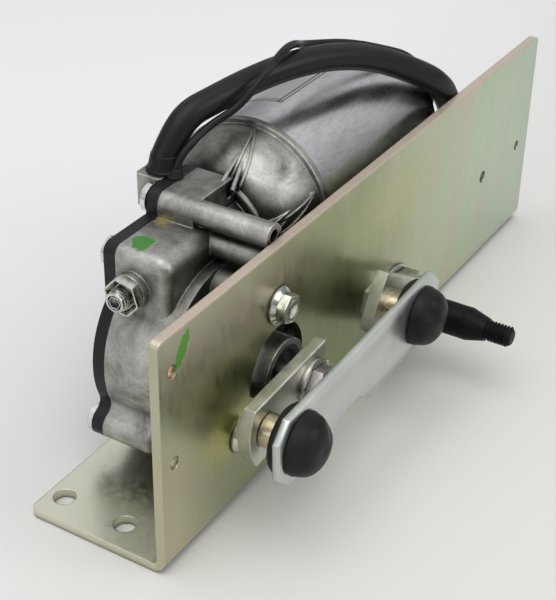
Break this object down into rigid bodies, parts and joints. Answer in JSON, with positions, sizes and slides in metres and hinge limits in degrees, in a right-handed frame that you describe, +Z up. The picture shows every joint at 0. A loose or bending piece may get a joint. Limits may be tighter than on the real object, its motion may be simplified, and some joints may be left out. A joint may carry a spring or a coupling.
{
  "type": "wiper motor",
  "caption": "Wiper motor with a worm gearbox on an angled sheet metal bracket, driving a wiper spindle through a crank, a link with ball joints and a rocker arm.",
  "frame": {"origin": "middle of the four foot holes, on the underside of the bracket's foot", "axes": "+X along the bracket's plate from the gearbox end to the free end, +Y from the plate's front face back to the motor, +Z up"},
  "size_m": [0.3, 0.1323, 0.1374],
  "materials": {
    "passivated_zinc": "zinc plated with a yellow-green passivate, satin",
    "cast_aluminium": "die cast, matt grey",
    "cover_plastic": "black glass-filled plastic",
    "bright_steel": "bright zinc plated steel",
    "black_rubber": "satin black rubber",
    "can_steel": "drawn steel, dark and oiled",
    "label_film": "silver film",
    "ferrite": "dark sintered ferrite",
    "sintered_bronze": "bronze",
    "brown_laminate": "resin board",
    "carbon": "carbon",
    "core_steel": "stacked electrical steel",
    "copper_wire": "enamelled copper wire",
    "copper_bars": "copper bars",
    "acetal": "natural acetal",
    "link_zinc": "bright zinc plated sheet",
    "cup_plastic": "natural nylon",
    "black_steel": "black phosphated steel",
    "sleeve_plastic": "black soft plastic sleeve"
  },
  "bodies": {
    "base": {"bracket": "passivated_zinc", "gear_housing": "cast_aluminium", "rear_cover": "cover_plastic", "gland_block": "cast_aluminium", "cover_screws": "bright_steel", "cable_gland": "black_rubber", "motor_can": "can_steel", "name_label": "label_film", "magnets": "ferrite", "end_bush": "sintered_bronze", "worm_bush": "sintered_bronze", "thrust_ball": "bright_steel", "set_screw": "bright_steel", "lock_nut": "bright_steel", "brush_plate": "brown_laminate", "brush_holders": "sintered_bronze", "brushes": "carbon", "park_switch_base": "brown_laminate", "park_contacts": "sintered_bronze", "output_bushes": "sintered_bronze", "shaft_seal": "black_rubber", "pivot_housing": "cast_aluminium", "pivot_bushes": "sintered_bronze", "pivot_washer": "bright_steel", "pivot_nut": "bright_steel", "mounting_bolts": "bright_steel", "harness_sleeve": "sleeve_plastic", "signal_wires": "sleeve_plastic", "connector": "cover_plastic"},
    "armature": {"armature_shaft": "bright_steel", "armature_core": "core_steel", "windings": "copper_wire", "commutator": "copper_bars"},
    "crank": {"worm_wheel": "acetal", "park_disc": "sintered_bronze", "output_shaft": "bright_steel", "crank_arm": "passivated_zinc", "crank_washer": "bright_steel", "crank_nut": "bright_steel", "crank_stud_tail": "passivated_zinc"},
    "spindle": {"spindle_shaft": "black_steel", "spindle_clip": "bright_steel", "rocker_arm": "passivated_zinc", "rocker_ball_stud": "bright_steel", "rocker_stud_nut": "passivated_zinc"},
    "link": {"link_bar": "link_zinc", "ball_cups": "cup_plastic", "seal_rings": "black_rubber", "dust_caps": "black_rubber", "link_ball_stud": "bright_steel"}
  },
  "joints": [
    {"name": "armature_spin", "type": "hinge", "parent": "base", "child": "armature", "pos_m": [0, 0.0048, 0.0769], "axis": [1, 0, 0], "continuous": true},
    {"name": "crank_turn", "type": "hinge", "parent": "base", "child": "crank", "pos_m": [-0.0785, -0.02, 0.044], "axis": [0, 1, 0], "continuous": true},
    {"name": "spindle_swing", "type": "hinge", "parent": "base", "child": "spindle", "pos_m": [0.012, -0.02, 0.026], "axis": [0, 1, 0], "range_deg": [0, 112]},
    {"name": "link_swing", "type": "hinge", "parent": "spindle", "child": "link", "pos_m": [-0.01975, -0.0647, 0.045], "axis": [0, 1, 0], "range_deg": [-108, 2]}
  ],
  "couplings": [
    {"joint": "crank_turn", "follows": "armature_spin", "ratio": -0.016667},
    {"joint": "link_swing", "follows": "spindle_swing", "ratio": -0.95}
  ]
}
